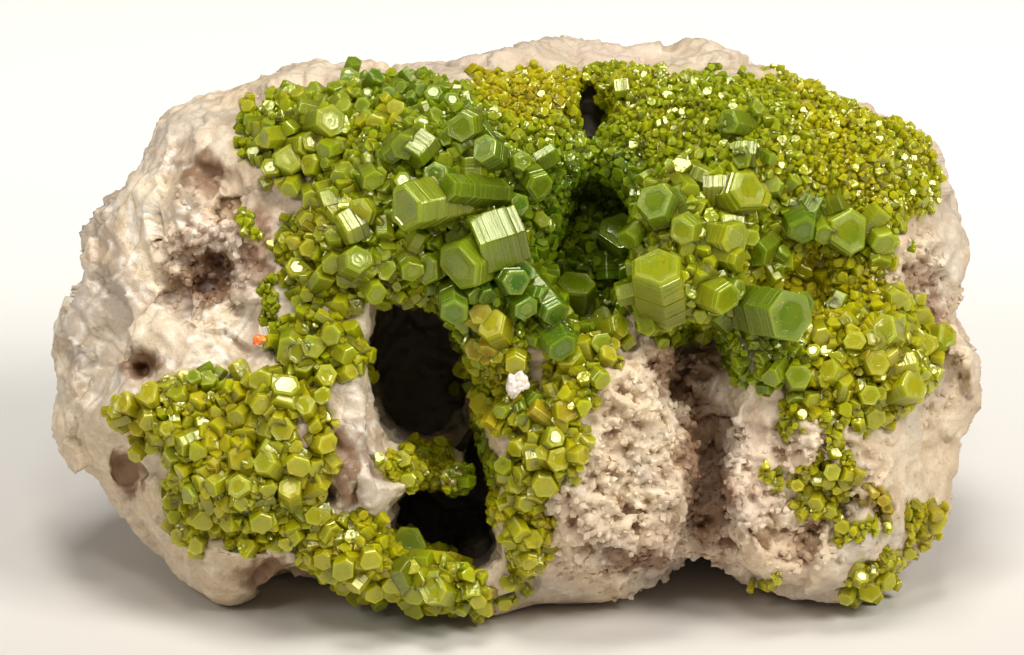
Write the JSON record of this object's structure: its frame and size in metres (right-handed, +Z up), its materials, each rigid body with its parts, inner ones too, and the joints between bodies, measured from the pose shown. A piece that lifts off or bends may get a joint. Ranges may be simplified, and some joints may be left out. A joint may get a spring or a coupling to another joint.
{
  "type": "mineral specimen",
  "caption": "Vuggy quartz rock crusted on its leaning face with short six-sided green crystals; free-standing on its flat underside.",
  "frame": {"origin": "on the flat underside, under the middle foot of the rock", "axes": "+Z up from the underside, +X along the specimen's length, -Y towards the crystal face"},
  "size_m": [0.0651, 0.038, 0.0382],
  "materials": {
    "quartz": "sugary, pinkish beige-grey with brown stains",
    "pyromorphite": "resinous green crystal faces, lime to deep green",
    "pale_quartz": "pale translucent grain",
    "orange_crystal": "glossy orange grain"
  },
  "bodies": {
    "root": {"matrix": "quartz", "main_crust": "pyromorphite", "left_crust": "pyromorphite", "vug_shelf_patch": "pyromorphite", "right_face_patch": "pyromorphite", "low_right_patch": "pyromorphite", "right_edge_patch": "pyromorphite", "quartz_grain": "pale_quartz", "orange_grain": "orange_crystal"}
  },
  "joints": []
}
